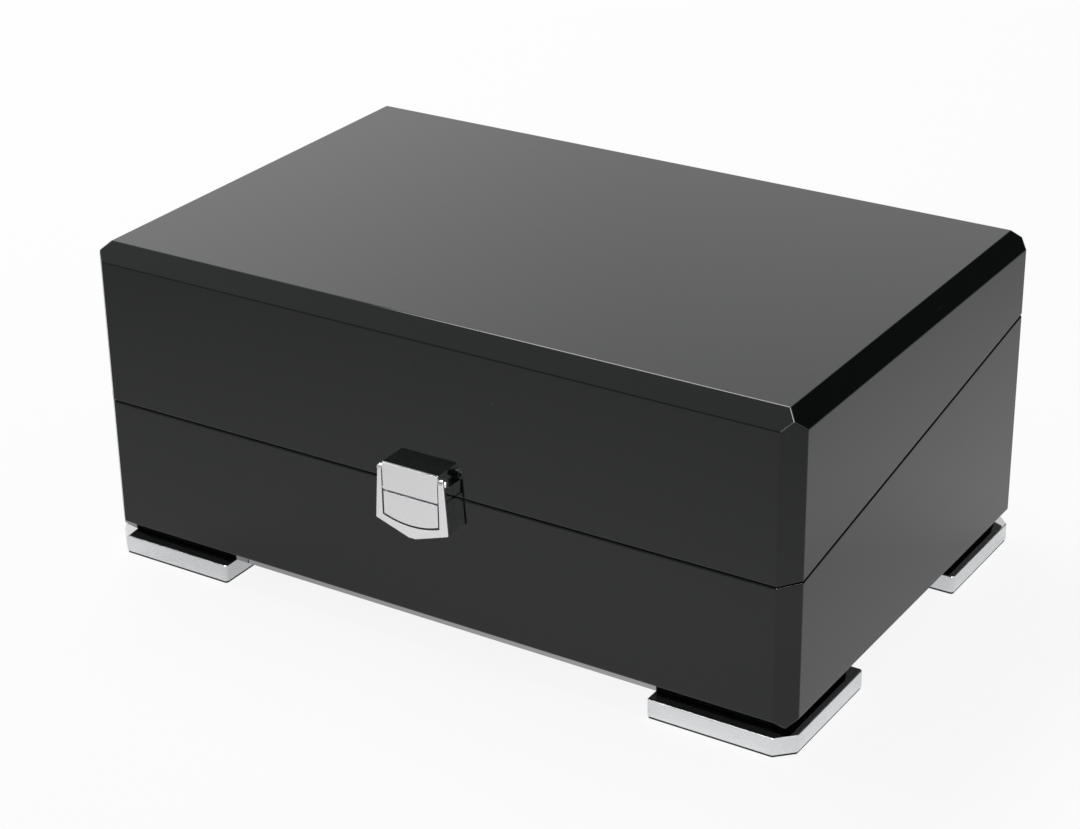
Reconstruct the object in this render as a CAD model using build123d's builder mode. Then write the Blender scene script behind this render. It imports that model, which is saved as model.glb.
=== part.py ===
from build123d import *
import os
from dataclasses import dataclass
from math import atan2, cos, sin, tan

os.makedirs("parts", exist_ok=True)

# All sizes are in millimetres. +X is the humidor's right, -Y its front, +Z up.
# The origin is under the middle of the whole object, on the surface it stands on.

# Lacquered box
width = 330.0
depth = 212.0
wall_height = 128.0
bevel = 7.2
edge_round = 1.0
wall = 10.0
panel = 9.0

# Seam between base and lid, level along the front and rising towards the back
seam_front = 57.4
seam_back = 92.6
seam_gap = 0.3
rim_round = 0.8

# Cedar lining, whose four sides rise over the base's rim as a lip
lining = 5.0
lining_panel = 4.0
lip_height = 6.0
lip_clearance = 0.5
lip_chamfer = 0.8
lid_lining_gap = 0.6

# Feet and their pads
foot_x = 62.0
foot_y = 63.0
foot_thickness = 7.7
foot_corner_round = 1.5
foot_edge = 0.5
pad_thickness = 0.8
pad_inset = 0.4
foot_screw_inset = 14.0

# Stop hinges at the back
hinge_inset = 65.0
hinge_length = 42.0
knuckle_radius = 2.75
knuckle_count = 5
knuckle_gap = 0.3
knuckle_wall_gap = 0.25
leaf_depth = 7.5
leaf_thickness = 1.2
mortise_clearance = 0.1
hinge_pin_radius = 1.25
hinge_pin_overhang = 0.4
hinge_screw_spacing = 14.0
running_clearance = 0.05

# Clasp, measured out from the front wall and up from the seam
clasp_depth = 7.5
clasp_gap = 0.4
clasp_back_gap = 0.3
flank_half = 15.5
clasp_pin_radius = 1.3
clasp_pin_height = 7.9
clasp_pin_overhang = 0.9
clasp_pin_dome = 0.8
ear_radius = 2.1
frame_thickness = 1.5
block_half = 13.2
block_height = 11.4
plate_thickness = 0.8
plate_margin = 0.1
plate_overhang = 0.6
plate_corner = 0.5
plate_edge = 0.2
arm_half = 15.7
corner_half = 17.4
corner_drop = 14.2
tip_half = 1.6
tip_drop = 19.5
frame_shoulder_round = 1.5
frame_corner_round = 1.0
frame_edge = 0.9
inlay_drop = 1.35
inlay_side_drop = 11.7
inlay_middle_drop = 14.1
inlay_groove = 0.7
keeper_half = 16.0
keeper_inset = 0.5
magnet_radius = 3.0
magnet_thickness = 2.0
magnet_drop = 8.0
keeper_screw_spacing = 21.0
block_screw_spacing = 14.0
block_screw_bite = 3.4

# Ledges and the tray they carry
lower_space = 23.6
ledge_width = 6.0
ledge_height = 4.5
tray_clearance = 1.5
tray_height = 32.0
tray_wall = 5.0
tray_floor_thickness = 3.0
tray_slot_width = 3.0
tray_slot_length = 120.0
tray_slot_spacing = 22.0
tray_slot_count = 12
notch_radius = 12.0
end_bay = 56.5
divider_thickness = 4.0
divider_drop = 1.5
groove_depth = 1.5
groove_slack = 0.3

# Humidifier, held by magnets under the lid's ceiling
humidifier_length = 130.0
humidifier_width = 55.0
humidifier_height = 10.5
humidifier_wall = 1.8
humidifier_top = 3.5
humidifier_corner = 5.0
humidifier_setback = 35.0
grille_thickness = 1.5
grille_slot_width = 2.4
grille_slot_length = 36.0
grille_slot_spacing = 7.0
grille_slot_count = 16
foam_slack = 0.2
steel_plate_thickness = 1.0
steel_plate_length = 16.0
steel_plate_width = 30.0
humidifier_magnet_radius = 5.0
humidifier_magnet_inset = 20.0

# Hygrometer, let into the lid's ceiling
hygrometer_setback = -45.0
gauge_radius = 21.0
gauge_wall = 1.0
gauge_drop = 3.0
gauge_slack = 0.2
dial_thickness = 1.0
glass_thickness = 1.2
bezel_radius = 24.0
bezel_window = 18.5
bezel_lip = 1.2
bezel_edge = 0.6
spindle_radius = 0.7
spindle_length = 2.6
needle_length = 15.0
needle_tail = 5.0
needle_width = 1.2
needle_tip = 0.4
needle_hub = 1.8
needle_thickness = 0.5
needle_height = 1.6


@dataclass
class Screw:
    """A countersunk slotted screw."""

    head_radius: float
    shank_radius: float
    length: float
    slot_width: float = 0.6
    slot_depth: float = 0.5


foot_screw = Screw(head_radius=3.2, shank_radius=1.6, length=13.5)
hinge_screw = Screw(head_radius=2.0, shank_radius=1.0, length=7.5)
keeper_screw = Screw(head_radius=2.0, shank_radius=1.0, length=12.0)
screw_slack = 0.05

# Heights
body_bottom = pad_thickness + foot_thickness
wall_bottom = body_bottom + bevel
box_top = wall_bottom + wall_height
floor_z = body_bottom + panel
floor_top = floor_z + lining_panel
ceiling_z = box_top - panel
ceiling_face = ceiling_z - lining_panel
ledge_top = floor_top + lower_space
tray_top = ledge_top + tray_height
tray_floor_top = ledge_top + tray_floor_thickness

# Places across and along the box
half_width = width / 2
hinge_reach = knuckle_wall_gap + 2 * knuckle_radius
middle_y = (clasp_depth - hinge_reach) / 2
front_y = middle_y - depth / 2
back_y = middle_y + depth / 2
base_inner_x = half_width - wall
base_inner_front = front_y + wall
base_inner_back = back_y - wall
room_x = base_inner_x - lining
room_front = base_inner_front + lining
room_back = base_inner_back - lining
lid_wall = wall - lip_clearance
lid_inner_x = half_width - lid_wall
lid_inner_front = front_y + lid_wall
lid_inner_back = back_y - lid_wall
lid_room_x = lid_inner_x - lining
lid_room_front = lid_inner_front + lining
lid_room_back = lid_inner_back - lining

# The seam's plane, which leans forward as it faces up
slope = atan2(seam_back - seam_front, depth)
seam_z = wall_bottom + seam_front
seam = Plane(
    origin=(0, front_y, seam_z),
    x_dir=(1, 0, 0),
    z_dir=(0, -sin(slope), cos(slope)),
)

# The hinge axis lies in the seam's plane, just behind the back wall
hinge_offset = knuckle_wall_gap + knuckle_radius
hinge_y = back_y + hinge_offset
hinge_z = seam_z + (hinge_y - front_y) * tan(slope)
hinge_places = {"left": hinge_inset - half_width, "right": half_width - hinge_inset}
leaf_start = knuckle_radius + knuckle_gap
leaf_end = hinge_offset + leaf_depth
screw_line = hinge_offset + leaf_depth / 2
knuckle_length = (hinge_length - (knuckle_count - 1) * knuckle_gap) / knuckle_count

# Clasp: its pin, and how far the block's flanks and the keeper reach out and up behind the frame
clasp_pin_y = front_y - clasp_depth + ear_radius
clasp_pin_z = seam_z + clasp_pin_height
flank_depth = clasp_depth - frame_thickness - clasp_back_gap
flank_top = clasp_pin_z - ear_radius - clasp_back_gap

# Places inside the lid
humidifier_y = middle_y + humidifier_setback
hygrometer_y = middle_y + hygrometer_setback
humidifier_case_top = ceiling_face - steel_plate_thickness
humidifier_case_bottom = humidifier_case_top - humidifier_height
gauge_top = ceiling_z - gauge_slack
gauge_bottom = ceiling_face - gauge_drop
dial_face = gauge_top - gauge_wall - dial_thickness

TOP_ALIGNED = (Align.CENTER, Align.CENTER, Align.MAX)


def save(piece, name):
    """Label a finished piece and write it as its own node."""
    piece.part.label = name
    export_step(piece.part, f"parts/{name}.step")


def board(x_span, y_span, z_span, mode=Mode.ADD):
    """A square-edged board between two planes each way, given as (low, high) pairs."""
    spans = (x_span, y_span, z_span)
    centre = tuple((low + high) / 2 for low, high in spans)
    with Locations(centre):
        Box(*[high - low for low, high in spans], mode=mode)


def front_plane(reach):
    """The upright plane that far out in front of the front wall, facing forward."""
    return Plane.XZ.offset(reach - front_y)


def add_screws(places, screw, slack=0.0, mode=Mode.ADD):
    """A screw at each plane, its head's face on the plane and its shank behind it."""
    head_height = screw.head_radius - screw.shank_radius
    with Locations(*[place.location for place in places]):
        Cone(
            screw.shank_radius + slack,
            screw.head_radius + slack,
            head_height,
            align=TOP_ALIGNED,
            mode=mode,
        )
        Cylinder(screw.shank_radius + slack, screw.length + slack, align=TOP_ALIGNED, mode=mode)
        if mode == Mode.ADD:
            slot = (2 * screw.head_radius, screw.slot_width, screw.slot_depth)
            Box(*slot, align=TOP_ALIGNED, mode=Mode.SUBTRACT)


def foot_outline(side, end):
    """A foot's plan, its outer corner cut off like the box's and all its corners rounded."""
    centre = (side * (half_width - foot_x / 2), middle_y + end * (depth / 2 - foot_y / 2))
    with Locations(centre):
        Rectangle(foot_x, foot_y)
    outer_corner = vertices().sort_by(lambda corner: side * corner.X + end * corner.Y)[-1]
    chamfer(outer_corner, bevel)
    fillet(vertices(), foot_corner_round)


def hinge_plane(x):
    """A hinge's own plane: along its pin, square to it towards the back, and out of the seam."""
    return Plane(origin=(x, hinge_y, hinge_z), x_dir=(1, 0, 0), z_dir=seam.z_dir)


def hinge_screw_planes(x, side):
    """The faces of one leaf's screws; side is 1 for the base's leaf and -1 for the lid's."""
    place = hinge_plane(x)
    return [
        Plane(
            origin=place.from_local_coords((along, -screw_line, -side * seam_gap / 2)),
            x_dir=(1, 0, 0),
            z_dir=seam.z_dir * side,
        )
        for along in (-hinge_screw_spacing, 0, hinge_screw_spacing)
    ]


def cut_mortises(side):
    """Pockets in the rim for both leaves, and holes for their screws."""
    leaf_side = Align.MAX if side == 1 else Align.MIN
    for x in hinge_places.values():
        with Locations(hinge_plane(x).location):
            Box(
                hinge_length + 2 * mortise_clearance,
                leaf_end + mortise_clearance,
                leaf_thickness + seam_gap / 2,
                align=(Align.CENTER, Align.MAX, leaf_side),
                mode=Mode.SUBTRACT,
            )
        add_screws(hinge_screw_planes(x, side), hinge_screw, screw_slack, Mode.SUBTRACT)


# Feet: where each stands, and the screws that hold it up against the bottom
corners = {
    "front_left": (-1, -1),
    "front_right": (1, -1),
    "back_left": (-1, 1),
    "back_right": (1, 1),
}


def foot_screw_planes(side, end):
    """The faces of one foot's three screws, looking down."""
    near = foot_screw_inset
    far_x = foot_x - foot_screw_inset
    far_y = foot_y - foot_screw_inset
    insets = [(near, near), (far_x, near), (near, far_y)]
    return [
        Plane(
            origin=(side * (half_width - x), middle_y + end * (depth / 2 - y), pad_thickness),
            z_dir=(0, 0, -1),
        )
        for x, y in insets
    ]


# Screws of the clasp: into the base through the keeper, and into the block from inside the lid
magnet_z = seam_z - magnet_drop
keeper_screw_planes = [
    Plane(origin=(x, front_y - flank_depth, magnet_z), z_dir=(0, -1, 0))
    for x in (-keeper_screw_spacing / 2, keeper_screw_spacing / 2)
]
block_screw_z = seam_z + block_height / 2
block_screw = Screw(head_radius=2.4, shank_radius=1.2, length=lid_wall + block_screw_bite)
block_screw_planes = [
    Plane(origin=(x, lid_inner_front, block_screw_z), z_dir=(0, 1, 0))
    for x in (-block_screw_spacing / 2, block_screw_spacing / 2)
]

# The closed box before it is sawn in two: bevelled along every edge, the three bevels of a corner
# carried on until they meet at a point
box_height = box_top - body_bottom
box_middle = (body_bottom + box_top) / 2
with BuildPart() as closed_box:
    board((-half_width, half_width), (front_y, back_y), (body_bottom, box_top))
    for plane, centre, size in (
        (Plane.XY, (0, middle_y), (width, depth)),
        (Plane.XZ, (0, box_middle), (width, box_height)),
        (Plane.YZ, (middle_y, box_middle), (depth, box_height)),
    ):
        with BuildSketch(plane) as bevelled_side:
            with Locations(centre):
                Rectangle(*size)
            chamfer(bevelled_side.vertices(), bevel)
        extrude(amount=width, both=True, mode=Mode.INTERSECT)
    fillet(closed_box.edges(), edge_round)

# Base carcass: lacquered shell, open at the slanted rim
with BuildPart() as base_carcass:
    add(closed_box.part)
    split(bisect_by=seam.offset(-seam_gap / 2), keep=Keep.BOTTOM)
    fillet(base_carcass.faces().filter_by(seam)[0].outer_wire().edges(), rim_round)
    inner_x = (-base_inner_x, base_inner_x)
    board(inner_x, (base_inner_front, base_inner_back), (floor_z, box_top), Mode.SUBTRACT)
    cut_mortises(1)
    for side, end in corners.values():
        add_screws(foot_screw_planes(side, end), foot_screw, screw_slack, Mode.SUBTRACT)
    add_screws(keeper_screw_planes, keeper_screw, screw_slack, Mode.SUBTRACT)
save(base_carcass, "base_carcass")

# Cedar sides of the base, cut level with the seam and proud of it as a lip
base_sides = {
    "front": ((-base_inner_x, base_inner_x), (base_inner_front, room_front), Axis.Y, 0),
    "back": ((-base_inner_x, base_inner_x), (room_back, base_inner_back), Axis.Y, -1),
    "left": ((-base_inner_x, -room_x), (room_front, room_back), Axis.X, 0),
    "right": ((room_x, base_inner_x), (room_front, room_back), Axis.X, -1),
}
for name, (x_span, y_span, outward, outermost) in base_sides.items():
    with BuildPart() as base_lining:
        board(x_span, y_span, (floor_z, box_top))
        split(bisect_by=seam.offset(lip_height), keep=Keep.BOTTOM)
        lip = base_lining.faces().filter_by(seam)[0]
        chamfer(lip.edges().sort_by(outward)[outermost], lip_chamfer)
    save(base_lining, f"base_lining_{name}")

# Cedar floor between the sides
with BuildPart() as base_floor_lining:
    board((-room_x, room_x), (room_front, room_back), (floor_z, floor_top))
save(base_floor_lining, "base_floor_lining")

# Feet: thick plates flush with the walls, proud of the bevel above them
for name, (side, end) in corners.items():
    with BuildPart() as foot:
        with BuildSketch(Plane.XY.offset(pad_thickness)):
            foot_outline(side, end)
        extrude(amount=foot_thickness)
        fillet(foot.edges(), foot_edge)
        add_screws(foot_screw_planes(side, end), foot_screw, screw_slack, Mode.SUBTRACT)
    save(foot, f"foot_{name}")

# Pads glued under the feet, over the screws
with BuildPart() as foot_pads:
    for side, end in corners.values():
        with BuildSketch():
            foot_outline(side, end)
            offset(amount=-pad_inset)
    extrude(amount=pad_thickness)
save(foot_pads, "foot_pads")

with BuildPart() as foot_screws:
    for side, end in corners.values():
        add_screws(foot_screw_planes(side, end), foot_screw)
save(foot_screws, "foot_screws")

# Tray ledges along both ends of the base
ledge_z = (ledge_top - ledge_height, ledge_top)
for name, x_span in {
    "left": (-room_x, -room_x + ledge_width),
    "right": (room_x - ledge_width, room_x),
}.items():
    with BuildPart() as tray_ledge:
        board(x_span, (room_front, room_back), ledge_z)
    save(tray_ledge, f"tray_ledge_{name}")


def hinge_leaf(x, side):
    """One leaf with its own knuckles; side is 1 for the base's leaf and -1 for the lid's."""
    own = range(0, knuckle_count, 2) if side == 1 else range(1, knuckle_count, 2)
    place = hinge_plane(x)
    leaf_middle = -side * (seam_gap + leaf_thickness) / 2
    with BuildPart() as leaf:
        with Locations(place * Location((0, -(leaf_start + leaf_end) / 2, leaf_middle))):
            Box(hinge_length, leaf_end - leaf_start, leaf_thickness)
        for number in own:
            along = (number + 0.5) * knuckle_length + number * knuckle_gap - hinge_length / 2
            with Locations(place * Location((along, 0, 0))):
                Cylinder(knuckle_radius, knuckle_length, rotation=(0, 90, 0))
            with Locations(place * Location((along, 0, leaf_middle))):
                strap_align = (Align.CENTER, Align.MAX, Align.CENTER)
                Box(knuckle_length, leaf_start, leaf_thickness, align=strap_align)
        with Locations(place.location):
            bore_radius = hinge_pin_radius + running_clearance
            Cylinder(bore_radius, 2 * hinge_length, rotation=(0, 90, 0), mode=Mode.SUBTRACT)
        add_screws(hinge_screw_planes(x, side), hinge_screw, screw_slack, Mode.SUBTRACT)
    return leaf


for name, x in hinge_places.items():
    save(hinge_leaf(x, 1), f"hinge_leaf_base_{name}")
    save(hinge_leaf(x, -1), f"hinge_leaf_lid_{name}")

    with BuildPart() as hinge_pin:
        with Locations(hinge_plane(x).location):
            pin_length = hinge_length + 2 * hinge_pin_overhang
            Cylinder(hinge_pin_radius, pin_length, rotation=(0, 90, 0))
        chamfer(hinge_pin.edges().filter_by(GeomType.CIRCLE), hinge_pin_overhang / 2)
    save(hinge_pin, f"hinge_pin_{name}")

for body, side in {"base": 1, "lid": -1}.items():
    with BuildPart() as hinge_screws:
        for x in hinge_places.values():
            add_screws(hinge_screw_planes(x, side), hinge_screw)
    save(hinge_screws, f"hinge_screws_{body}")

# Lid carcass: lacquered shell, a little thinner walled so that it clears the lip
with BuildPart() as lid_carcass:
    add(closed_box.part)
    split(bisect_by=seam.offset(seam_gap / 2), keep=Keep.TOP)
    fillet(lid_carcass.faces().filter_by(seam)[0].outer_wire().edges(), rim_round)
    lid_room = (lid_inner_front, lid_inner_back)
    board((-lid_inner_x, lid_inner_x), lid_room, (body_bottom, ceiling_z), Mode.SUBTRACT)
    cut_mortises(-1)
    add_screws(block_screw_planes, block_screw, screw_slack, Mode.SUBTRACT)
save(lid_carcass, "lid_carcass")

# Cedar sides of the lid, which stop short of the lip
lid_sides = {
    "front": ((-lid_inner_x, lid_inner_x), (lid_inner_front, lid_room_front)),
    "back": ((-lid_inner_x, lid_inner_x), (lid_room_back, lid_inner_back)),
    "left": ((-lid_inner_x, -lid_room_x), (lid_room_front, lid_room_back)),
    "right": ((lid_room_x, lid_inner_x), (lid_room_front, lid_room_back)),
}
for name, (x_span, y_span) in lid_sides.items():
    with BuildPart() as lid_lining:
        board(x_span, y_span, (wall_bottom, ceiling_face))
        split(bisect_by=seam.offset(lip_height + lid_lining_gap), keep=Keep.TOP)
    save(lid_lining, f"lid_lining_{name}")

# Cedar ceiling, with the hygrometer's hole
with BuildPart() as lid_ceiling_lining:
    lid_room = (lid_inner_front, lid_inner_back)
    board((-lid_inner_x, lid_inner_x), lid_room, (ceiling_face, ceiling_z))
    with BuildSketch(Plane.XY.offset(ceiling_face)):
        with Locations((0, hygrometer_y)):
            Circle(gauge_radius + gauge_slack)
    extrude(amount=lining_panel, mode=Mode.SUBTRACT)
save(lid_ceiling_lining, "lid_ceiling_lining")

# Clasp block on the lid: a deep middle, drilled for the pin, between low flanks that leave the
# frame's ears room to turn
block_bottom = seam_z + seam_gap / 2
block_face = clasp_depth - plate_thickness
STANDING = (Align.CENTER, Align.MIN)
with BuildPart() as clasp_block:
    for half, height, reach in (
        (flank_half, flank_top - block_bottom, flank_depth),
        (block_half, block_height, block_face),
    ):
        with BuildSketch(front_plane(0)):
            with Locations((0, block_bottom)):
                Rectangle(2 * half, height, align=STANDING)
        extrude(amount=reach)
    with BuildSketch(Plane.YZ):
        with Locations((clasp_pin_y, clasp_pin_z)):
            Circle(clasp_pin_radius + running_clearance)
    extrude(amount=width, both=True, mode=Mode.SUBTRACT)
    add_screws(block_screw_planes, block_screw, screw_slack, Mode.SUBTRACT)
save(clasp_block, "clasp_block")

with BuildPart() as clasp_block_screws:
    add_screws(block_screw_planes, block_screw)
save(clasp_block_screws, "clasp_block_screws")

# Satin plate on the block, hanging a little below it
with BuildPart() as clasp_upper_plate:
    plate_width = 2 * (block_half - plate_margin)
    plate_height = plate_overhang + block_height - plate_margin
    with BuildSketch(front_plane(block_face)):
        with Locations((0, block_bottom - plate_overhang)):
            RectangleRounded(plate_width, plate_height, plate_corner, align=STANDING)
    extrude(amount=plate_thickness)
    fillet(clasp_upper_plate.faces().sort_by(Axis.Y)[0].edges(), plate_edge)
save(clasp_upper_plate, "clasp_upper_plate")

# Pin through the block and the frame's ears, with domed ends
with BuildPart() as clasp_pin:
    with BuildSketch(Plane.YZ):
        with Locations((clasp_pin_y, clasp_pin_z)):
            Circle(clasp_pin_radius)
    extrude(amount=arm_half + clasp_pin_overhang, both=True)
    fillet(clasp_pin.edges().filter_by(GeomType.CIRCLE), clasp_pin_dome)
save(clasp_pin, "clasp_pin")

# Keeper on the base, of the frame's outline drawn in, with a pocket for the magnet
keeper_top = seam_z - seam_gap / 2
keeper_corner_z = seam_z - corner_drop + keeper_inset
keeper_tip_z = seam_z - tip_drop + keeper_inset
with BuildPart() as clasp_keeper:
    with BuildSketch(front_plane(0)):
        with BuildLine():
            Polyline(
                (keeper_half, keeper_top),
                (corner_half - keeper_inset, keeper_corner_z),
                (tip_half, keeper_tip_z),
                (-tip_half, keeper_tip_z),
                (keeper_inset - corner_half, keeper_corner_z),
                (-keeper_half, keeper_top),
                close=True,
            )
        make_face()
    extrude(amount=flank_depth)
    with BuildSketch(front_plane(flank_depth)):
        with Locations((0, magnet_z)):
            Circle(magnet_radius + screw_slack)
    extrude(amount=-magnet_thickness, mode=Mode.SUBTRACT)
    add_screws(keeper_screw_planes, keeper_screw, screw_slack, Mode.SUBTRACT)
save(clasp_keeper, "clasp_keeper")

with BuildPart() as clasp_magnet:
    with BuildSketch(front_plane(flank_depth)):
        with Locations((0, magnet_z)):
            Circle(magnet_radius)
    extrude(amount=-magnet_thickness)
save(clasp_magnet, "clasp_magnet")

with BuildPart() as clasp_keeper_screws:
    add_screws(keeper_screw_planes, keeper_screw)
save(clasp_keeper_screws, "clasp_keeper_screws")

# Clasp frame: a thin shield in front of the keeper, whose arms thicken to round ears on the pin
frame_back = clasp_depth - 2 * ear_radius
ear_top = clasp_pin_z + ear_radius
frame_bottom = seam_z - tip_drop
slot_half = block_half + clasp_gap
inlay_top = seam_z - inlay_drop
with BuildPart() as clasp_frame:
    with BuildSketch(front_plane(frame_back)) as frame_outline:
        with BuildLine():
            Polyline(
                (arm_half, ear_top),
                (corner_half, seam_z - corner_drop),
                (tip_half, frame_bottom),
                (-tip_half, frame_bottom),
                (-corner_half, seam_z - corner_drop),
                (-arm_half, ear_top),
                close=True,
            )
        make_face()
        fillet(frame_outline.vertices().group_by(Axis.Y)[-1], frame_shoulder_round)
        fillet(frame_outline.vertices().group_by(Axis.Y)[1], frame_corner_round)
    extrude(amount=2 * ear_radius)
    fillet(clasp_frame.faces().sort_by(Axis.Y)[0].edges(), frame_edge)
    with BuildSketch(Plane.YZ):
        with Locations((front_y - clasp_depth, clasp_pin_z)):
            shield_height = clasp_pin_z - frame_bottom
            Rectangle(frame_thickness, shield_height, align=(Align.MIN, Align.MAX))
        with Locations((clasp_pin_y, clasp_pin_z)):
            Circle(ear_radius)
    extrude(amount=width, both=True, mode=Mode.INTERSECT)
    with BuildSketch(front_plane(0)):
        with Locations((0, inlay_top)):
            Rectangle(2 * slot_half, 2 * block_height, align=STANDING)
    extrude(amount=2 * clasp_depth, mode=Mode.SUBTRACT)
    with BuildSketch(front_plane(block_face)):
        with BuildLine():
            Line((slot_half, inlay_top), (-slot_half, inlay_top))
            Line((-slot_half, inlay_top), (-slot_half, seam_z - inlay_side_drop))
            ThreePointArc(
                (-slot_half, seam_z - inlay_side_drop),
                (0, seam_z - inlay_middle_drop),
                (slot_half, seam_z - inlay_side_drop),
            )
            Line((slot_half, seam_z - inlay_side_drop), (slot_half, inlay_top))
        make_face()
    extrude(amount=plate_thickness, mode=Mode.SUBTRACT)
    with BuildSketch(Plane.YZ):
        with Locations((clasp_pin_y, clasp_pin_z)):
            Circle(clasp_pin_radius + running_clearance)
    extrude(amount=width, both=True, mode=Mode.SUBTRACT)
save(clasp_frame, "clasp_frame")

# Satin plate let into the frame, with a narrow groove around it
with BuildPart() as clasp_lower_plate:
    plate_half = slot_half - inlay_groove
    side_bottom = seam_z - inlay_side_drop + inlay_groove
    with BuildSketch(front_plane(block_face)):
        with BuildLine():
            Line((plate_half, inlay_top), (-plate_half, inlay_top))
            Line((-plate_half, inlay_top), (-plate_half, side_bottom))
            ThreePointArc(
                (-plate_half, side_bottom),
                (0, seam_z - inlay_middle_drop + inlay_groove),
                (plate_half, side_bottom),
            )
            Line((plate_half, side_bottom), (plate_half, inlay_top))
        make_face()
    extrude(amount=plate_thickness)
    fillet(clasp_lower_plate.faces().sort_by(Axis.Y)[0].edges(), plate_edge)
save(clasp_lower_plate, "clasp_lower_plate")

# Tray: four sides, grooved for the dividers and notched for fingers, and a slotted floor
tray_x = room_x - tray_clearance
tray_front_y = room_front + tray_clearance
tray_back_y = room_back - tray_clearance
tray_z = (ledge_top, tray_top)
tray_inner_x = tray_x - tray_wall
tray_inner_front = tray_front_y + tray_wall
tray_inner_back = tray_back_y - tray_wall
divider_reach = tray_inner_x - end_bay - divider_thickness / 2
dividers = {"left": -divider_reach, "right": divider_reach}
for name, y_span, groove_y in (
    ("front", (tray_front_y, tray_inner_front), (tray_inner_front - groove_depth, tray_inner_front)),
    ("back", (tray_inner_back, tray_back_y), (tray_inner_back, tray_inner_back + groove_depth)),
):
    with BuildPart() as tray_long_side:
        board((-tray_x, tray_x), y_span, tray_z)
        for x in dividers.values():
            groove_half = divider_thickness / 2 + groove_slack
            groove_x = (x - groove_half, x + groove_half)
            board(groove_x, groove_y, (tray_floor_top, tray_top), Mode.SUBTRACT)
    save(tray_long_side, f"tray_{name}")

for name, x_span in {
    "left": (-tray_x, -tray_inner_x),
    "right": (tray_inner_x, tray_x),
}.items():
    with BuildPart() as tray_end:
        board(x_span, (tray_inner_front, tray_inner_back), tray_z)
        with BuildSketch(Plane.YZ):
            with Locations((middle_y, tray_top)):
                Circle(notch_radius)
        extrude(amount=width, both=True, mode=Mode.SUBTRACT)
    save(tray_end, f"tray_{name}")

with BuildPart() as tray_floor:
    tray_room_y = (tray_inner_front, tray_inner_back)
    board((-tray_inner_x, tray_inner_x), tray_room_y, (ledge_top, tray_floor_top))
    with BuildSketch(Plane.XY.offset(ledge_top)):
        with Locations((0, middle_y)):
            with GridLocations(tray_slot_spacing, 0, tray_slot_count, 1):
                SlotOverall(tray_slot_length, tray_slot_width, rotation=90)
    extrude(amount=tray_floor_thickness, mode=Mode.SUBTRACT)
save(tray_floor, "tray_floor")

# Dividers, which lift out of the tray's grooves
tongue = groove_depth - groove_slack
for name, x in dividers.items():
    with BuildPart() as tray_divider:
        divider_x = (x - divider_thickness / 2, x + divider_thickness / 2)
        divider_y = (tray_inner_front - tongue, tray_inner_back + tongue)
        board(divider_x, divider_y, (tray_floor_top, tray_top - divider_drop))
    save(tray_divider, f"tray_divider_{name}")

# Humidifier: steel plates glued to the ceiling, and a case that its magnets hold to them
magnet_reach = humidifier_length / 2 - humidifier_magnet_inset
magnet_places = [(-magnet_reach, humidifier_y), (magnet_reach, humidifier_y)]
with BuildPart() as humidifier_plates:
    with BuildSketch(Plane.XY.offset(humidifier_case_top)):
        with Locations(*magnet_places):
            Rectangle(steel_plate_length, steel_plate_width)
    extrude(amount=steel_plate_thickness)
save(humidifier_plates, "humidifier_plates")

with BuildPart() as humidifier_case:
    with BuildSketch(Plane.XY.offset(humidifier_case_bottom)):
        with Locations((0, humidifier_y)):
            RectangleRounded(humidifier_length, humidifier_width, humidifier_corner)
    extrude(amount=humidifier_height)
    with BuildSketch(Plane.XY.offset(humidifier_case_bottom)):
        with Locations((0, humidifier_y)):
            RectangleRounded(
                humidifier_length - 2 * humidifier_wall,
                humidifier_width - 2 * humidifier_wall,
                humidifier_corner - humidifier_wall,
            )
    extrude(amount=humidifier_height - humidifier_top, mode=Mode.SUBTRACT)
    with BuildSketch(Plane.XY.offset(humidifier_case_top)):
        with Locations(*magnet_places):
            Circle(humidifier_magnet_radius + screw_slack)
    extrude(amount=-magnet_thickness, mode=Mode.SUBTRACT)
save(humidifier_case, "humidifier_case")

with BuildPart() as humidifier_magnets:
    with BuildSketch(Plane.XY.offset(humidifier_case_top)):
        with Locations(*magnet_places):
            Circle(humidifier_magnet_radius)
    extrude(amount=-magnet_thickness)
save(humidifier_magnets, "humidifier_magnets")

with BuildPart() as humidifier_foam:
    foam_corner = humidifier_corner - humidifier_wall - foam_slack
    with BuildSketch(Plane.XY.offset(humidifier_case_bottom)):
        with Locations((0, humidifier_y)):
            RectangleRounded(
                humidifier_length - 2 * (humidifier_wall + foam_slack),
                humidifier_width - 2 * (humidifier_wall + foam_slack),
                foam_corner,
            )
    extrude(amount=humidifier_height - humidifier_top)
save(humidifier_foam, "humidifier_foam")

with BuildPart() as humidifier_grille:
    with BuildSketch(Plane.XY.offset(humidifier_case_bottom - grille_thickness)):
        with Locations((0, humidifier_y)):
            RectangleRounded(humidifier_length, humidifier_width, humidifier_corner)
            with GridLocations(grille_slot_spacing, 0, grille_slot_count, 1):
                SlotOverall(
                    grille_slot_length, grille_slot_width, rotation=90, mode=Mode.SUBTRACT
                )
    extrude(amount=grille_thickness)
save(humidifier_grille, "humidifier_grille")

# Hygrometer: a cup pushed up through the ceiling, closed by its glass and bezel
gauge_place = (0, hygrometer_y)
with BuildPart() as hygrometer_case:
    with BuildSketch(Plane.XY.offset(gauge_bottom)):
        with Locations(gauge_place):
            Circle(gauge_radius)
    extrude(amount=gauge_top - gauge_bottom)
    with BuildSketch(Plane.XY.offset(gauge_bottom)):
        with Locations(gauge_place):
            Circle(gauge_radius - gauge_wall)
    extrude(amount=gauge_top - gauge_wall - gauge_bottom, mode=Mode.SUBTRACT)
save(hygrometer_case, "hygrometer_case")

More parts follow.
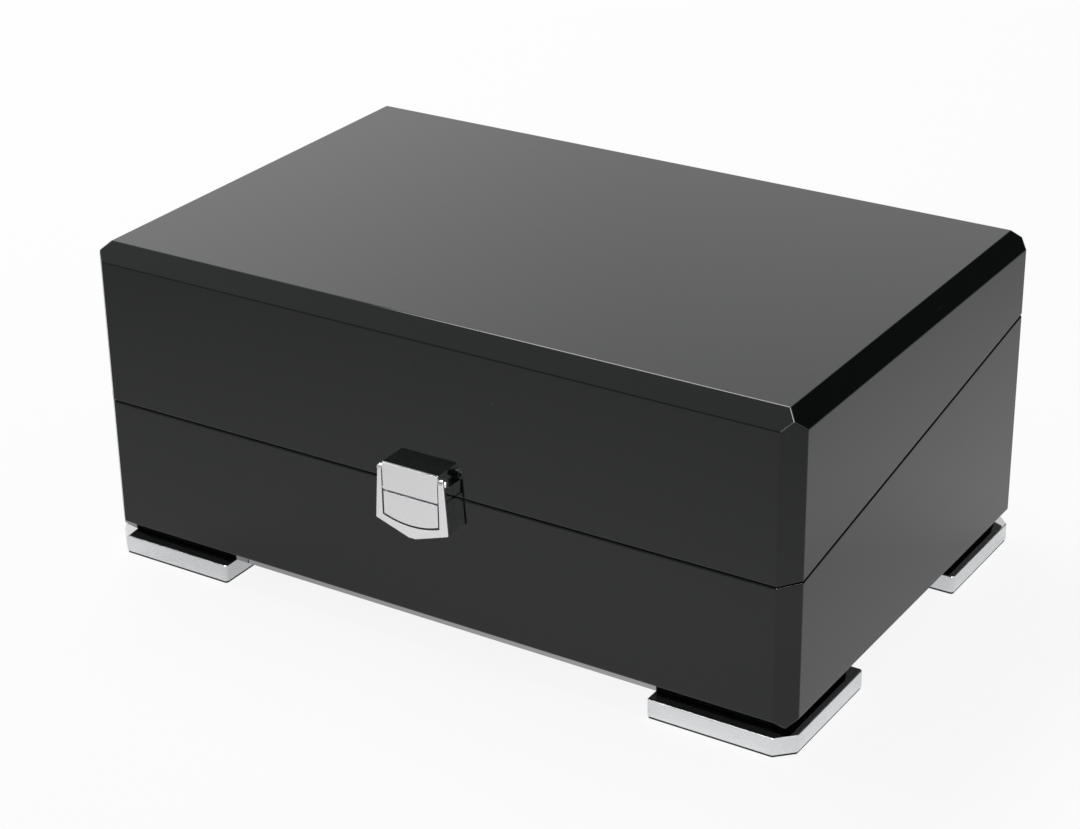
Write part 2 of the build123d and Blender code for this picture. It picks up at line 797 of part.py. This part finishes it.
with BuildPart() as hygrometer_dial:
    with BuildSketch(Plane.XY.offset(dial_face)):
        with Locations(gauge_place):
            Circle(gauge_radius - gauge_wall - gauge_slack)
    extrude(amount=dial_thickness)
save(hygrometer_dial, "hygrometer_dial")

with BuildPart() as hygrometer_glass:
    with BuildSketch(Plane.XY.offset(gauge_bottom)):
        with Locations(gauge_place):
            Circle(gauge_radius - gauge_wall - gauge_slack)
    extrude(amount=glass_thickness)
save(hygrometer_glass, "hygrometer_glass")

with BuildPart() as hygrometer_bezel:
    with BuildSketch(Plane.XY.offset(gauge_bottom - bezel_lip)):
        with Locations(gauge_place):
            Circle(bezel_radius)
            Circle(bezel_window, mode=Mode.SUBTRACT)
    extrude(amount=bezel_lip)
    with BuildSketch(Plane.XY.offset(gauge_bottom)):
        with Locations(gauge_place):
            Circle(bezel_radius)
            Circle(gauge_radius + screw_slack, mode=Mode.SUBTRACT)
    extrude(amount=gauge_drop)
    fillet(hygrometer_bezel.faces().sort_by(Axis.Z)[0].edges(), bezel_edge)
save(hygrometer_bezel, "hygrometer_bezel")

with BuildPart() as hygrometer_spindle:
    with BuildSketch(Plane.XY.offset(dial_face)):
        with Locations(gauge_place):
            Circle(spindle_radius)
    extrude(amount=-spindle_length)
save(hygrometer_spindle, "hygrometer_spindle")

with BuildPart() as hygrometer_needle:
    with BuildSketch(Plane.XY.offset(dial_face - needle_height)):
        with BuildLine():
            tail_y = hygrometer_y + needle_tail
            point_y = hygrometer_y - needle_length
            Polyline(
                (-needle_width / 2, tail_y),
                (needle_width / 2, tail_y),
                (needle_tip / 2, point_y),
                (-needle_tip / 2, point_y),
                close=True,
            )
        make_face()
        with Locations(gauge_place):
            Circle(needle_hub)
            Circle(spindle_radius + running_clearance, mode=Mode.SUBTRACT)
    extrude(amount=needle_thickness)
save(hygrometer_needle, "hygrometer_needle")
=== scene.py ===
from math import cos, pi, radians, sin

import bpy
from mathutils import Matrix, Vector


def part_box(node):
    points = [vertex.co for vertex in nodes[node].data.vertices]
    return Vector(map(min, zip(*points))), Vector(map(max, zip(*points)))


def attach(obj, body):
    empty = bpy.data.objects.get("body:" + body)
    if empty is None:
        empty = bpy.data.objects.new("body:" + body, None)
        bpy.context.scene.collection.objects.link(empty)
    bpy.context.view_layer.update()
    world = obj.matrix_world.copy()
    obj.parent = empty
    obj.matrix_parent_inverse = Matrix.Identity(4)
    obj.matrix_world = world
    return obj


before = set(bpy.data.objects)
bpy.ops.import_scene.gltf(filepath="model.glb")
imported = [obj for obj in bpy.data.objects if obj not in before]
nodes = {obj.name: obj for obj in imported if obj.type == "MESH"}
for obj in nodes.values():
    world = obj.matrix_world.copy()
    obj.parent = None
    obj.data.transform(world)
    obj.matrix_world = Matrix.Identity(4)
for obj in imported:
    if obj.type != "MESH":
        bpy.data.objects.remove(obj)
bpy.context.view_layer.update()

# The case's two halves: fibreboard under many coats of black lacquer with a faint green cast, rubbed
# flat and buffed to a mirror. They keep a slight ripple and haze, and a little dust lies on them.
LACQUER = (0.0025, 0.0048, 0.0036)
LACQUER_IOR = 1.42
DUST = (0.16, 0.15, 0.14)
RIPPLE_DEPTH = 0.00003
PEEL_DEPTH = 0.0000012


def new_finish(name, colour, roughness, metallic=0.0):
    """A material with its shader's plain values set; returns it and the shader."""
    finish = bpy.data.materials.new(name)
    finish.use_nodes = True
    shader = finish.node_tree.nodes["Principled BSDF"]
    shader.inputs["Base Color"].default_value = (*colour, 1)
    shader.inputs["Roughness"].default_value = roughness
    shader.inputs["Metallic"].default_value = metallic
    return finish, shader


def put(finish, kind, sockets, **settings):
    """Adds a shader node, makes its settings, and sets or links its sockets."""
    made = finish.node_tree.nodes.new("ShaderNode" + kind)
    for name, value in settings.items():
        setattr(made, name, value)
    for name, value in sockets.items():
        if isinstance(value, bpy.types.NodeSocket):
            finish.node_tree.links.new(value, made.inputs[name])
        else:
            made.inputs[name].default_value = value
    return made


def grain_place(finish, turn=(0, 0, 0), scale=(1, 1, 1), shift=(0, 0, 0)):
    """Object coordinates, turned, stretched and moved for a pattern."""
    place = put(finish, "TexCoord", {}).outputs["Object"]
    sockets = {"Vector": place, "Location": shift, "Rotation": turn, "Scale": scale}
    return put(finish, "Mapping", sockets).outputs["Vector"]


def noise(finish, place, scale, detail=2.0):
    """Cloudy noise from 0 to 1, its clouds about 1/scale metres across."""
    sockets = {"Vector": place, "Scale": scale, "Detail": detail}
    return put(finish, "TexNoise", sockets).outputs["Fac"]


def span(finish, value, low, high, start=0.0, end=1.0):
    """A value that runs from start to end, mapped to run from low to high."""
    sockets = {"Value": value, "From Min": start, "From Max": end, "To Min": low, "To Max": high}
    return put(finish, "MapRange", sockets).outputs["Result"]


def maths(finish, operation, *terms):
    """The result of one step of arithmetic on its terms."""
    return put(finish, "Math", dict(enumerate(terms)), operation=operation).outputs["Value"]


def mix_colours(finish, share, first, second):
    """The first colour, or the second where share is 1."""
    mixed = put(finish, "Mix", {}, data_type="RGBA")
    factor, colour_a, colour_b = mixed.inputs[0], mixed.inputs[6], mixed.inputs[7]
    for socket, value in ((factor, share), (colour_a, first), (colour_b, second)):
        if isinstance(value, bpy.types.NodeSocket):
            finish.node_tree.links.new(value, socket)
        else:
            socket.default_value = (*value, 1)
    return mixed.outputs[2]


def relief(finish, height, depth, under=None):
    """The surface normal over a height pattern whose full height is depth metres."""
    sockets = {"Height": height, "Distance": depth, "Strength": 1.0}
    if under:
        sockets["Normal"] = under
    return put(finish, "Bump", sockets).outputs["Normal"]


def connect(finish, shader, **sockets):
    """Links patterns to the shader's sockets, named with _ for a space."""
    for name, output in sockets.items():
        finish.node_tree.links.new(output, shader.inputs[name.replace("_", " ")])


def dress(finish, *names):
    """Gives CAD nodes their finish."""
    for name in names:
        nodes[name].material_slots[0].material = finish


lacquer, shader = new_finish("black_lacquer", LACQUER, roughness=0.04)
shader.inputs["IOR"].default_value = LACQUER_IOR
place = grain_place(lacquer)
speck = put(lacquer, "TexVoronoi", {"Vector": place, "Scale": 170.0}).outputs["Distance"]
dust = span(lacquer, speck, 1.0, 0.0, start=0.018, end=0.03)
clouds = noise(lacquer, place, scale=14, detail=4)
haze = span(lacquer, clouds, 0.02, 0.06, start=0.35, end=0.65)
ripple = relief(lacquer, noise(lacquer, place, scale=16, detail=1), RIPPLE_DEPTH)
connect(
    lacquer,
    shader,
    Base_Color=mix_colours(lacquer, dust, LACQUER, DUST),
    Roughness=maths(lacquer, "MAXIMUM", haze, dust),
    Normal=relief(lacquer, noise(lacquer, place, scale=260, detail=1), PEEL_DEPTH, ripple),
)
dress(lacquer, "base_carcass", "lid_carcass")

# The lining of the base and the lid, the ledges and the tray: thin boards of planed, bare cedar, cut
# so that the grain runs along each board. Every board comes from another place in the plank.
CEDAR_LIGHT = (0.60, 0.34, 0.19)
CEDAR_DARK = (0.40, 0.19, 0.09)
CEDAR_PORE = (0.17, 0.075, 0.035)
PLANK_CENTRE = (0.0, 0.11, -0.26)
PLANK_STEP = 0.037
STEP_ALONG = 0.31
RING_STRETCH = (0.07, 1, 1)
FIBRE_STRETCH = (0.05, 1, 1)
PORE_DEPTH = 0.00006
FUZZ_DEPTH = 0.00004


def cedar_finish(name, turn, order):
    """Cedar with its grain along X, or along Y with a quarter turn; order picks its place in the plank."""
    finish, shader = new_finish("cedar_" + name, CEDAR_LIGHT, roughness=0.55)
    across = PLANK_CENTRE[1] + PLANK_STEP * order
    down = PLANK_CENTRE[2] - PLANK_STEP * (order % 5)
    plank = grain_place(finish, turn=(0, 0, turn), shift=(STEP_ALONG * order, across, down))
    long_plank = put(finish, "Mapping", {"Vector": plank, "Scale": RING_STRETCH}).outputs["Vector"]
    rings = {"Vector": long_plank, "Scale": 30.0, "Distortion": 5.0, "Detail": 3.0, "Detail Scale": 1.2}
    ring = put(finish, "TexWave", rings, wave_type="RINGS", rings_direction="X", wave_profile="SAW")
    tone = noise(finish, long_plank, scale=28, detail=3)
    fibre_place = put(finish, "Mapping", {"Vector": plank, "Scale": FIBRE_STRETCH}).outputs["Vector"]
    fibre = noise(finish, fibre_place, scale=1400, detail=3)
    pore = span(finish, noise(finish, fibre_place, scale=2600, detail=1), 0.0, 1.0, start=0.60, end=0.72)
    late_wood = span(finish, ring.outputs["Fac"], 0.0, 0.75, start=0.35, end=1.0)
    wood = mix_colours(finish, maths(finish, "MULTIPLY", late_wood, tone), CEDAR_LIGHT, CEDAR_DARK)
    wood = mix_colours(finish, span(finish, fibre, 0.0, 0.5, start=0.35, end=0.8), wood, CEDAR_DARK)
    wood = mix_colours(finish, span(finish, pore, 0.0, 0.7), wood, CEDAR_PORE)
    grooves = relief(finish, span(finish, pore, 1.0, 0.0), PORE_DEPTH)
    connect(
        finish,
        shader,
        Base_Color=wood,
        Roughness=span(finish, tone, 0.5, 0.72),
        Normal=relief(finish, fibre, FUZZ_DEPTH, grooves),
    )
    return finish


boards_along_x = (
    "base_lining_front", "base_lining_back", "base_floor_lining",
    "lid_lining_front", "lid_lining_back", "lid_ceiling_lining",
    "tray_front", "tray_back", "tray_floor",
)
boards_along_y = (
    "base_lining_left", "base_lining_right", "lid_lining_left", "lid_lining_right",
    "tray_ledge_left", "tray_ledge_right", "tray_left", "tray_right",
    "tray_divider_left", "tray_divider_right",
)
for order, board in enumerate(boards_along_x):
    dress(cedar_finish(board, 0.0, order), board)
for order, board in enumerate(boards_along_y, start=len(boards_along_x)):
    dress(cedar_finish(board, radians(90), order), board)

# The four corner feet: die-cast plates, plated, with their upper faces polished to a mirror and their
# edges left satin. Their upper faces are also painted darker, as painted shade for the shadow of the
# case above them. Each is held by three screws from below, over a thin rubber pad.
FOOT_EDGE = (0.73, 0.74, 0.75)
TOP_FACE_SHADE = (0.5, 0.5, 0.5)
MIRROR_ROUGHNESS_SHARE = 0.12
FACES_UP = (0.96, 0.99)


def plated_finish(name, colour, roughness, rubbed_along, depth):
    """Plated metal with fine rubbing marks of a depth; rubbed_along squeezes them along each axis."""
    finish, shader = new_finish(name, colour, roughness, metallic=1.0)
    marks = noise(finish, grain_place(finish, scale=rubbed_along), scale=1, detail=3)
    cloud = noise(finish, grain_place(finish), scale=60, detail=3)
    worn = maths(finish, "MULTIPLY", marks, cloud)
    rough = span(finish, worn, roughness * 0.8, roughness * 1.6, start=0.12, end=0.4)
    connect(finish, shader, Roughness=rough, Normal=relief(finish, marks, depth))
    return finish


foot_plating = plated_finish("foot_plating", FOOT_EDGE, 0.22, (260, 260, 5200), 0.000006)
shader = foot_plating.node_tree.nodes["Principled BSDF"]
satin = shader.inputs["Roughness"].links[0].from_socket
facing = put(foot_plating, "TexCoord", {}).outputs["Normal"]
upward = put(foot_plating, "SeparateXYZ", {"Vector": facing}).outputs["Z"]
# Upward faces get a smaller roughness, and a darker colour that is painted shade under the case.
polish_and_top_shade = span(foot_plating, upward, 1.0, MIRROR_ROUGHNESS_SHARE, *FACES_UP)
connect(
    foot_plating,
    shader,
    Base_Color=mix_colours(foot_plating, polish_and_top_shade, TOP_FACE_SHADE, FOOT_EDGE),
    Roughness=maths(foot_plating, "MULTIPLY", satin, polish_and_top_shade),
)
dress(foot_plating, "foot_front_left", "foot_front_right", "foot_back_left", "foot_back_right")

RUBBER = (0.012, 0.012, 0.012)
SCUFFED_RUBBER = (0.05, 0.05, 0.05)
CRUMB_DEPTH = 0.00008
rubber, shader = new_finish("pad_rubber", RUBBER, roughness=0.75)
place = grain_place(rubber)
crumbs = put(rubber, "TexVoronoi", {"Vector": place, "Scale": 1600.0}).outputs["Distance"]
scuffs = noise(rubber, place, scale=90, detail=4)
scuffed = span(rubber, scuffs, 0.0, 0.5, start=0.5, end=0.75)
connect(
    rubber,
    shader,
    Base_Color=mix_colours(rubber, scuffed, RUBBER, SCUFFED_RUBBER),
    Roughness=span(rubber, scuffs, 0.65, 0.9),
    Normal=relief(rubber, crumbs, CRUMB_DEPTH),
)
dress(rubber, "foot_pads")

SCREW_STEEL = (0.56, 0.56, 0.57)
screw_steel = plated_finish("screw_steel", SCREW_STEEL, 0.3, (900, 900, 900), 0.00001)
dress(screw_steel, "foot_screws", "hinge_screws_base", "hinge_screws_lid")
dress(screw_steel, "clasp_block_screws", "clasp_keeper_screws")

# The two stop hinges at the back: nickel-plated leaves let into the rims, with knuckles rolled round
# a pin. They are drawn and buffed along their length.
NICKEL = (0.72, 0.71, 0.69)
nickel = plated_finish("hinge_nickel", NICKEL, 0.2, (150, 3200, 3200), 0.000004)
for side in ("left", "right"):
    dress(nickel, "hinge_leaf_base_" + side, "hinge_leaf_lid_" + side, "hinge_pin_" + side)

# The clasp: a cast frame with a bright plating that swings on a pin in the lid's block and closes
# over the keeper on the base. Satin plates, brushed from side to side, are glued to the block and
# into the frame's recess. The recess around the lower one is painted black and dull: painted shade
# for the shadow in the gap there.
PLATING = (0.80, 0.80, 0.81)
SATIN = (0.78, 0.78, 0.79)
RECESS_SHADE = (0.006, 0.006, 0.006)
RECESS_DEPTH = 0.0005
FACES_FRONT = (-0.98, -0.9)
clasp_plating = plated_finish("clasp_plating", PLATING, 0.1, (2400, 2400, 400), 0.000002)
dress(clasp_plating, "clasp_block", "clasp_keeper", "clasp_pin")
frame_plating = plated_finish("clasp_frame_plating", PLATING, 0.2, (2400, 2400, 400), 0.000002)
shader = frame_plating.node_tree.nodes["Principled BSDF"]
sockets = put(frame_plating, "TexCoord", {}).outputs
facing = put(frame_plating, "SeparateXYZ", {"Vector": sockets["Normal"]}).outputs["Y"]
depth = put(frame_plating, "SeparateXYZ", {"Vector": sockets["Object"]}).outputs["Y"]
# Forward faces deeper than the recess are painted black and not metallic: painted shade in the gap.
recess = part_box("clasp_frame")[0][1] + RECESS_DEPTH
forward = span(frame_plating, facing, 1.0, 0.0, *FACES_FRONT)
recess_shaded = maths(frame_plating, "MULTIPLY", forward, maths(frame_plating, "GREATER_THAN", depth, recess))
connect(
    frame_plating,
    shader,
    Base_Color=mix_colours(frame_plating, recess_shaded, PLATING, RECESS_SHADE),
    Metallic=span(frame_plating, recess_shaded, 1.0, 0.0),
)
dress(frame_plating, "clasp_frame")
satin_plate = plated_finish("satin_plate", SATIN, 0.3, (170, 6000, 6000), 0.000008)
dress(satin_plate, "clasp_upper_plate", "clasp_lower_plate")

# The magnets of the clasp and the humidifier are nickel-plated discs, and the plates that the
# humidifier's magnets hold to are bare rolled steel.
STEEL_SHEET = (0.50, 0.50, 0.51)
magnet_nickel = plated_finish("magnet_nickel", NICKEL, 0.22, (700, 700, 700), 0.000006)
dress(magnet_nickel, "clasp_magnet", "humidifier_magnets")
steel_sheet = plated_finish("steel_sheet", STEEL_SHEET, 0.34, (90, 2600, 2600), 0.00001)
dress(steel_sheet, "humidifier_plates")

# The humidifier: a moulded case with a slotted grille, in black plastic with a fine spark-eroded
# texture, filled with open-cell foam that holds the water. The hygrometer's case is moulded alike.
PLASTIC = (0.012, 0.012, 0.013)
GREYED_PLASTIC = (0.02, 0.02, 0.021)
SPARK_DEPTH = 0.00003
plastic, shader = new_finish("black_plastic", PLASTIC, roughness=0.42)
place = grain_place(plastic)
spark = noise(plastic, place, scale=2800, detail=2)
greyed = noise(plastic, place, scale=40, detail=3)
connect(
    plastic,
    shader,
    Base_Color=mix_colours(plastic, greyed, PLASTIC, GREYED_PLASTIC),
    Roughness=span(plastic, spark, 0.32, 0.55, start=0.3, end=0.7),
    Normal=relief(plastic, spark, SPARK_DEPTH),
)
dress(plastic, "humidifier_case", "humidifier_grille", "hygrometer_case")

# The foam's pores are coloured much darker than its cell walls: painted shade in the hollows.
FOAM = (0.16, 0.28, 0.17)
FOAM_PORE_SHADE = (0.03, 0.06, 0.035)
CELL_DEPTH = 0.0005
foam, shader = new_finish("open_cell_foam", FOAM, roughness=0.95)
cells = put(foam, "TexVoronoi", {"Vector": grain_place(foam), "Scale": 900.0}).outputs["Distance"]
cell_wall_and_pore_shade = span(foam, cells, 0.0, 1.0, start=0.25, end=0.6)
connect(
    foam,
    shader,
    Base_Color=mix_colours(foam, cell_wall_and_pore_shade, FOAM_PORE_SHADE, FOAM),
    Normal=relief(foam, cell_wall_and_pore_shade, CELL_DEPTH),
)
dress(foam, "humidifier_foam")

# The hygrometer: a dial gauge pressed into the lid's ceiling, with a polished bezel, a glass, a
# printed card and a needle on a spindle. It reads from below, upright when the lid stands open.
bezel_plating = plated_finish("bezel_plating", PLATING, 0.1, (500, 500, 4200), 0.000002)
dress(bezel_plating, "hygrometer_bezel", "hygrometer_spindle")

CARD = (0.80, 0.79, 0.75)
CARD_FLECK = (0.66, 0.64, 0.59)
CARD_TOOTH = 0.000012
card, shader = new_finish("dial_card", CARD, roughness=0.6)
place = grain_place(card)
fleck = span(card, noise(card, place, scale=900, detail=4), 0.0, 0.5, start=0.5, end=0.8)
connect(
    card,
    shader,
    Base_Color=mix_colours(card, fleck, CARD, CARD_FLECK),
    Normal=relief(card, noise(card, place, scale=2500, detail=2), CARD_TOOTH),
)
dress(card, "hygrometer_dial")

GLASS = (0.96, 0.98, 0.98)
GLASS_IOR = 1.45
glass, shader = new_finish("gauge_glass", GLASS, roughness=0.02)
shader.inputs["Transmission Weight"].default_value = 1.0
shader.inputs["IOR"].default_value = GLASS_IOR
smear = noise(glass, grain_place(glass), scale=120, detail=3)
connect(glass, shader, Roughness=span(glass, smear, 0.0, 0.05, start=0.4, end=0.8))
dress(glass, "hygrometer_glass")

NEEDLE_BLACK = (0.015, 0.015, 0.015)
BRUSH_DEPTH = 0.00001
needle_paint, shader = new_finish("needle_paint", NEEDLE_BLACK, roughness=0.45)
brushed_on = noise(needle_paint, grain_place(needle_paint, scale=(4, 1, 1)), scale=500, detail=2)
connect(
    needle_paint,
    shader,
    Roughness=span(needle_paint, brushed_on, 0.35, 0.6),
    Normal=relief(needle_paint, brushed_on, BRUSH_DEPTH),
)
dress(needle_paint, "hygrometer_needle")

# The dial's print: black ink in a thin layer on the card. The scale runs clockwise from 0 to 100
# over 240 degrees, with a long mark and a number at every ten.
INK = (0.02, 0.02, 0.022)
DENSE_INK = (0.012, 0.012, 0.013)
THIN_INK = (0.035, 0.035, 0.037)
INK_THICKNESS = 0.00004
DIAL_STEPS = 50
STEPS_PER_NUMBER = 5
DIAL_SWEEP = radians(240)
MARK_OUTER = 0.0172
LONG_MARK = 0.0026
SHORT_MARK = 0.0014
LONG_MARK_WIDTH = 0.00038
SHORT_MARK_WIDTH = 0.00018
NUMBER_RADIUS = 0.0122
NUMBER_HEIGHT = 0.0025
HEIGHT_PER_SIZE = 0.7
SIGN_DROP = 0.0078

dial_low, dial_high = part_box("hygrometer_dial")
dial_x = (dial_low[0] + dial_high[0]) / 2
dial_y = (dial_low[1] + dial_high[1]) / 2
face_z = dial_low[2]

ink, shader = new_finish("dial_ink", INK, roughness=0.5)
coverage = noise(ink, grain_place(ink), scale=4000, detail=2)
connect(
    ink,
    shader,
    Base_Color=mix_colours(ink, coverage, DENSE_INK, THIN_INK),
    Roughness=span(ink, coverage, 0.4, 0.65),
)


def dial_turn(step):
    """The angle of a step of the scale, clockwise from upright, which is towards -Y."""
    return DIAL_SWEEP * (step / DIAL_STEPS - 0.5)


def print_mark(step):
    """One mark of the scale: a thin bar with square ends, lengthwise along its radius."""
    numbered = step % STEPS_PER_NUMBER == 0
    length = LONG_MARK if numbered else SHORT_MARK
    width = LONG_MARK_WIDTH if numbered else SHORT_MARK_WIDTH
    bpy.ops.object.select_all(action="DESELECT")
    bpy.ops.mesh.primitive_plane_add(size=1)
    mark = bpy.context.object
    mark.data.transform(Matrix.Diagonal((width, length, 1, 1)))
    mark.data.transform(Matrix.Translation((0, -MARK_OUTER + length / 2, 0)))
    mark.data.transform(Matrix.Rotation(dial_turn(step), 4, "Z"))
    bpy.ops.object.mode_set(mode="EDIT")
    bpy.ops.mesh.extrude_region_move(TRANSFORM_OT_translate={"value": (0, 0, -INK_THICKNESS)})
    bpy.ops.mesh.select_all(action="SELECT")
    bpy.ops.mesh.normals_make_consistent(inside=False)
    bpy.ops.object.mode_set(mode="OBJECT")
    mark.data.transform(Matrix.Translation((dial_x, dial_y, face_z)))
    return mark


def print_text(body, along, across):
    """Printed figures, centred at a place on the dial, reading from below with -Y upright."""
    bpy.ops.object.text_add()
    figures = bpy.context.object
    figures.data.body = body
    figures.data.align_x = "CENTER"
    figures.data.align_y = "CENTER"
    figures.data.size = NUMBER_HEIGHT / HEIGHT_PER_SIZE
    figures.data.extrude = INK_THICKNESS / 2
    bpy.ops.object.convert(target="MESH")
    figures = bpy.context.object
    figures.data.transform(Matrix.Rotation(radians(180), 4, "X"))
    centre = (dial_x + along, dial_y + across, face_z - INK_THICKNESS / 2)
    figures.data.transform(Matrix.Translation(centre))
    return figures


def join_print(parts, name):
    """Joins printed parts to one piece that rides with the lid."""
    bpy.ops.object.select_all(action="DESELECT")
    for part in parts:
        part.select_set(True)
    bpy.context.view_layer.objects.active = parts[0]
    bpy.ops.object.join()
    piece = bpy.context.object
    piece.name = name
    piece.data.name = name
    piece.data.materials.clear()
    piece.data.materials.append(ink)
    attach(piece, "lid")


join_print([print_mark(step) for step in range(DIAL_STEPS + 1)], "dial_marks")
numbers = []
for step in range(0, DIAL_STEPS + 1, STEPS_PER_NUMBER):
    turn = dial_turn(step)
    value = str(100 * step // DIAL_STEPS)
    numbers.append(print_text(value, NUMBER_RADIUS * sin(turn), -NUMBER_RADIUS * cos(turn)))
numbers.append(print_text("%", 0, SIGN_DROP))
join_print(numbers, "dial_numbers")

# The floor: a seamless sheet of white card, larger than any view of it. The camera sees it almost at
# full white, so the case stands in a soft shadow only. What mirrors it sees a painted pool of light:
# the card glows for those rays, brightest under the case's right half and fainter away from there.
FLOOR_SIZE = 8.0
FLOOR_WHITE = (0.86, 0.86, 0.86)
FLOOR_SEEN = 0.9
FLOOR_MIRRORED = 0.5
POOL_MIDDLE = (0.12, -0.05, 0.0)
POOL_RADII = (0.05, 0.6)
POOL_LEVELS = (1.36, 0.32)
bpy.ops.object.select_all(action="DESELECT")
bpy.ops.mesh.primitive_plane_add(size=FLOOR_SIZE)
floor = bpy.context.object
floor.name = "floor"
paper = bpy.data.materials.new("white_card")
paper.use_nodes = True
tree = paper.node_tree
tree.nodes.remove(tree.nodes["Principled BSDF"])


def sum_of(finish, first, second, factor=1.0):
    """The first value, plus the second times a factor."""
    return maths(finish, "MULTIPLY_ADD", second, factor, first)


rays = put(paper, "LightPath", {}).outputs
mirrored = sum_of(paper, rays["Is Glossy Ray"], rays["Is Transmission Ray"])
mirrored_share = maths(paper, "MULTIPLY", mirrored, FLOOR_MIRRORED)
glow_share = sum_of(paper, mirrored_share, rays["Is Camera Ray"], FLOOR_SEEN)
# For mirrored rays the card glows brighter near the case and dimmer away: a painted pool of light.
sheet = put(paper, "TexCoord", {}).outputs["Object"]
reach = put(paper, "VectorMath", {0: sheet, 1: POOL_MIDDLE}, operation="DISTANCE").outputs["Value"]
painted_pool = span(paper, reach, *POOL_LEVELS, *POOL_RADII)
glow_level = span(paper, rays["Is Camera Ray"], painted_pool, 1.0)
glow = put(paper, "Emission", {"Strength": glow_level}).outputs[0]
card_light = put(paper, "BsdfDiffuse", {"Color": (*FLOOR_WHITE, 1)}).outputs[0]
surface = put(paper, "MixShader", {0: glow_share, 1: card_light, 2: glow}).outputs[0]
tree.links.new(surface, tree.nodes["Material Output"].inputs["Surface"])
floor.data.materials.append(paper)

# The studio: seen directly it is plain white. In reflections it has white walls under a darker
# ceiling, with a brighter wall on the left, which the lid's left end mirrors, and two dark
# openings: behind the case to the right, which the lid's right-hand bevel mirrors, and in front of
# the case to the left, which the top of the clasp mirrors by way of the lid's front.
ROOM_LIGHT = 0.4
WALL_TOP = 0.42
CEILING_START = 0.74
CEILING_LEVEL = 0.76
BRIGHT_WALL = (-0.80, 0.50, 0.33)
BRIGHT_ANGLES = (27, 8)
BRIGHT_LIFT = 0.36
BACK_OPENING = (0.43, 0.76, 0.49)
BACK_ANGLES = (36, 18)
BACK_DARKNESS = -0.97
FRONT_OPENING = (-0.49, -0.76, 0.43)
FRONT_ANGLES = (24, 14)
FRONT_DARKNESS = -0.75
studio = bpy.data.worlds.new("studio")
bpy.context.scene.world = studio
studio.use_nodes = True
direction = put(studio, "TexCoord", {}).outputs["Generated"]


def towards(axis, wide, narrow):
    """1 within narrow degrees of a direction, fading to 0 at wide degrees."""
    near = put(studio, "VectorMath", {0: direction, 1: axis}, operation="DOT_PRODUCT").outputs["Value"]
    sockets = {"Value": near, "From Min": cos(radians(wide)), "From Max": cos(radians(narrow))}
    fade = put(studio, "MapRange", sockets, interpolation_type="SMOOTHSTEP")
    return fade.outputs["Result"]


height = put(studio, "SeparateXYZ", {"Vector": direction}).outputs["Z"]
walls = span(studio, height, 1.0, CEILING_LEVEL, start=WALL_TOP, end=CEILING_START)
walls = sum_of(studio, walls, towards(BRIGHT_WALL, *BRIGHT_ANGLES), BRIGHT_LIFT)
back_shade = sum_of(studio, 1.0, towards(BACK_OPENING, *BACK_ANGLES), BACK_DARKNESS)
front_shade = sum_of(studio, 1.0, towards(FRONT_OPENING, *FRONT_ANGLES), FRONT_DARKNESS)
walls = maths(studio, "MULTIPLY", walls, back_shade)
walls = maths(studio, "MULTIPLY", walls, front_shade)
rays = put(studio, "LightPath", {}).outputs
seen = sum_of(studio, rays["Is Camera Ray"], rays["Is Transmission Ray"])
indirect = span(studio, rays["Is Glossy Ray"], ROOM_LIGHT, walls)
background = studio.node_tree.nodes["Background"]
background.inputs["Color"].default_value = (1, 1, 1, 1)
connect(studio, background, Strength=span(studio, seen, indirect, 1.0))

# Two soft boxes hang level overhead, out of sight of the flat faces, and draw the thin bright lines
# along the lid's rounded edges. The left one lights the case; the right one only shows in its gloss.
SOFT_BOX_HEIGHT = 1.9


def soft_box(name, x, y, width, length, radiance):
    """A level rectangular lamp facing down, with its middle over a place on the floor."""
    bpy.ops.object.light_add(type="AREA", location=(x, y, SOFT_BOX_HEIGHT))
    lamp = bpy.context.object
    lamp.name = name
    lamp.data.shape = "RECTANGLE"
    lamp.data.size = width
    lamp.data.size_y = length
    lamp.data.energy = radiance * pi * length * width
    return lamp


soft_box("left_soft_box", x=-0.87, y=0.38, width=0.58, length=1.5, radiance=10.0)
right_box = soft_box("right_soft_box", x=0.27, y=-1.0, width=1.15, length=1.2, radiance=16.0)
right_box.visible_diffuse = False

# The camera stands where the photograph was taken from: in front to the right and above, with a
# long lens, leaning a little to one side.
AZIMUTH = radians(32.615)
ELEVATION = radians(25.621)
LEAN = radians(-0.870)
CAMERA_PLACE = (0.53475, -0.85274, 0.54465)
LENS = 87.16
SENSOR_WIDTH = 36
NEAREST_SEEN = 0.01
bpy.ops.object.camera_add()
camera = bpy.context.object
camera.matrix_world = (
    Matrix.Translation(CAMERA_PLACE)
    @ Matrix.Rotation(AZIMUTH, 4, "Z")
    @ Matrix.Rotation(radians(90) - ELEVATION, 4, "X")
    @ Matrix.Rotation(LEAN, 4, "Z")
)
camera.data.lens = LENS
camera.data.sensor_width = SENSOR_WIDTH
camera.data.clip_start = NEAREST_SEEN
camera.data.dof.use_dof = False
bpy.context.scene.camera = camera
bpy.context.scene.view_settings.view_transform = "Standard"
